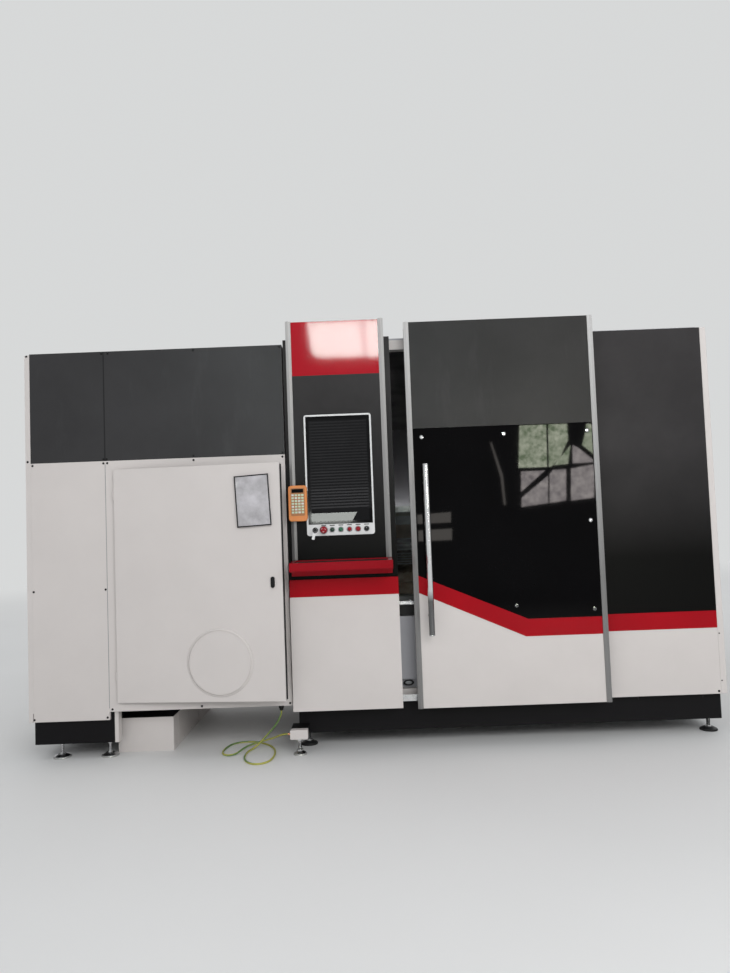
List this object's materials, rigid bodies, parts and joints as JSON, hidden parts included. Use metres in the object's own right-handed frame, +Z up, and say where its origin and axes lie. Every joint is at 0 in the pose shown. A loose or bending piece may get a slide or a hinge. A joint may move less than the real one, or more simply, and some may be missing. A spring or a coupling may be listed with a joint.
{
  "type": "fiber laser cutting machine",
  "caption": "Fully enclosed flat-bed laser sheet cutter with a sliding door, operator console, electrical cabinet, slat table and moving gantry with cutting head.",
  "frame": {"origin": "on the floor under the middle of the machine's box, its earth wire left out", "axes": "+Z up, -Y out of the front where the operator stands, +X to the right seen from the front, +Y along the cutting bed towards the loading slot"},
  "size_m": [3.874, 4.4004, 2.392],
  "materials": {
    "white_paint": "satin powder coat",
    "anthracite_paint": "satin powder coat",
    "red_paint": "gloss paint",
    "black_paint": "satin powder coat",
    "grey_paint": "satin powder coat",
    "silver_aluminium": "brushed and anodised",
    "bright_steel": "brushed",
    "black_glass": "dark glazing, polished",
    "black_plastic": "fine grain",
    "white_plastic": "fine grain",
    "red_plastic": "moulded",
    "green_plastic": "moulded",
    "orange_plastic": "moulded",
    "clear_plastic": "clear sheet",
    "earth_wire_jacket": "striped jacket",
    "machined_grey": "painted casting"
  },
  "bodies": {
    "machine": {"base_frame": "black_paint", "base_skirt": "black_paint", "front_foot": "white_paint", "bed_frame": "machined_grey", "slat_table": "bright_steel", "left_wall": "white_paint", "right_wall": "white_paint", "rear_wall": "white_paint", "roof": "grey_paint", "front_frame": "white_paint", "front_apron": "grey_paint", "door_rail_top": "bright_steel", "door_rail_bottom": "bright_steel", "right_upper_panel": "anthracite_paint", "right_red_band": "red_paint", "right_lower_panel": "white_paint", "console_body": "anthracite_paint", "console_top_cover": "red_paint", "console_face": "anthracite_paint", "console_red_band": "red_paint", "console_lower_cover": "white_paint", "console_trim_left": "silver_aluminium", "console_trim_right": "silver_aluminium", "keyboard_tray": "red_paint", "monitor_bezel": "white_plastic", "monitor_screen": "black_glass", "hand_pendant": "orange_plastic", "cabinet_body": "white_paint", "cabinet_narrow_upper": "anthracite_paint", "cabinet_narrow_lower": "white_paint", "cabinet_wide_upper": "anthracite_paint", "cabinet_front": "white_paint", "mounting_plate": "grey_paint", "laser_source": "grey_paint", "cabinet_plinth": "black_paint", "fume_duct": "white_paint", "earth_wire": "earth_wire_jacket"},
    "sliding_door": {"door_frame": "grey_paint", "door_upper_panel": "anthracite_paint", "door_window": "black_glass", "door_red_band": "red_paint", "door_lower_panel": "white_paint", "door_trim_left": "silver_aluminium", "door_trim_right": "silver_aluminium", "door_handle": "bright_steel"},
    "cabinet_door": {"cabinet_door": "white_paint", "document_pocket": "clear_plastic", "round_cover": "white_paint"},
    "cabinet_lock": {"cabinet_lock": "black_plastic"},
    "emergency_stop": {"emergency_stop": "red_plastic"},
    "key_switch": {"key_switch": "bright_steel"},
    "push_button_1": {"push_button_1": "green_plastic"},
    "push_button_2": {"push_button_2": "green_plastic"},
    "push_button_3": {"push_button_3": "red_plastic"},
    "push_button_4": {"push_button_4": "red_plastic"},
    "selector_knob": {"selector_knob": "black_plastic"},
    "gantry": {"gantry_beam": "machined_grey"},
    "carriage": {"carriage": "machined_grey"},
    "cutting_head": {"cutting_head": "silver_aluminium"},
    "rear_door": {"rear_door": "anthracite_paint"}
  },
  "joints": [
    {"name": "sliding_door_travel", "type": "slide", "parent": "machine", "child": "sliding_door", "axis": [1, 0, 0], "range_m": [-0.08, 0.62]},
    {"name": "cabinet_door_hinge", "type": "hinge", "parent": "machine", "child": "cabinet_door", "pos_m": [-1.441, -2.00015, 0.952], "axis": [0, 0, -1], "range_deg": [-6, 104]},
    {"name": "cabinet_lock_turn", "type": "hinge", "parent": "cabinet_door", "child": "cabinet_lock", "pos_m": [-0.54959, -2.10038, 0.945], "axis": [-0.1045, -0.9945, 0], "range_deg": [0, 90]},
    {"name": "emergency_stop_press", "type": "slide", "parent": "machine", "child": "emergency_stop", "axis": [0, 1, 0], "range_m": [0, 0.004], "stiffness_N_per_m": 1200},
    {"name": "key_switch_turn", "type": "hinge", "parent": "machine", "child": "key_switch", "pos_m": [-0.3165, -2.02745, 1.2165], "axis": [0, 1, 0], "range_deg": [0, 90]},
    {"name": "push_button_1_press", "type": "slide", "parent": "machine", "child": "push_button_1", "axis": [0, 1, 0], "range_m": [0, 0.004], "stiffness_N_per_m": 600},
    {"name": "push_button_2_press", "type": "slide", "parent": "machine", "child": "push_button_2", "axis": [0, 1, 0], "range_m": [0, 0.004], "stiffness_N_per_m": 600},
    {"name": "push_button_3_press", "type": "slide", "parent": "machine", "child": "push_button_3", "axis": [0, 1, 0], "range_m": [0, 0.004], "stiffness_N_per_m": 600},
    {"name": "push_button_4_press", "type": "slide", "parent": "machine", "child": "push_button_4", "axis": [0, 1, 0], "range_m": [0, 0.004], "stiffness_N_per_m": 600},
    {"name": "selector_knob_turn", "type": "hinge", "parent": "machine", "child": "selector_knob", "pos_m": [-0.0315, -2.02745, 1.2165], "axis": [0, 1, 0], "range_deg": [-45, 45]},
    {"name": "gantry_travel", "type": "slide", "parent": "machine", "child": "gantry", "axis": [0, 1, 0], "range_m": [-0.1, 2.95]},
    {"name": "carriage_travel", "type": "slide", "parent": "gantry", "child": "carriage", "axis": [1, 0, 0], "range_m": [-0.35, 0.93]},
    {"name": "cutting_head_lift", "type": "slide", "parent": "carriage", "child": "cutting_head", "axis": [0, 0, 1], "range_m": [-0.05, 0.12]},
    {"name": "rear_door_lift", "type": "slide", "parent": "machine", "child": "rear_door", "axis": [0, 0, 1], "range_m": [0, 0.42]}
  ]
}
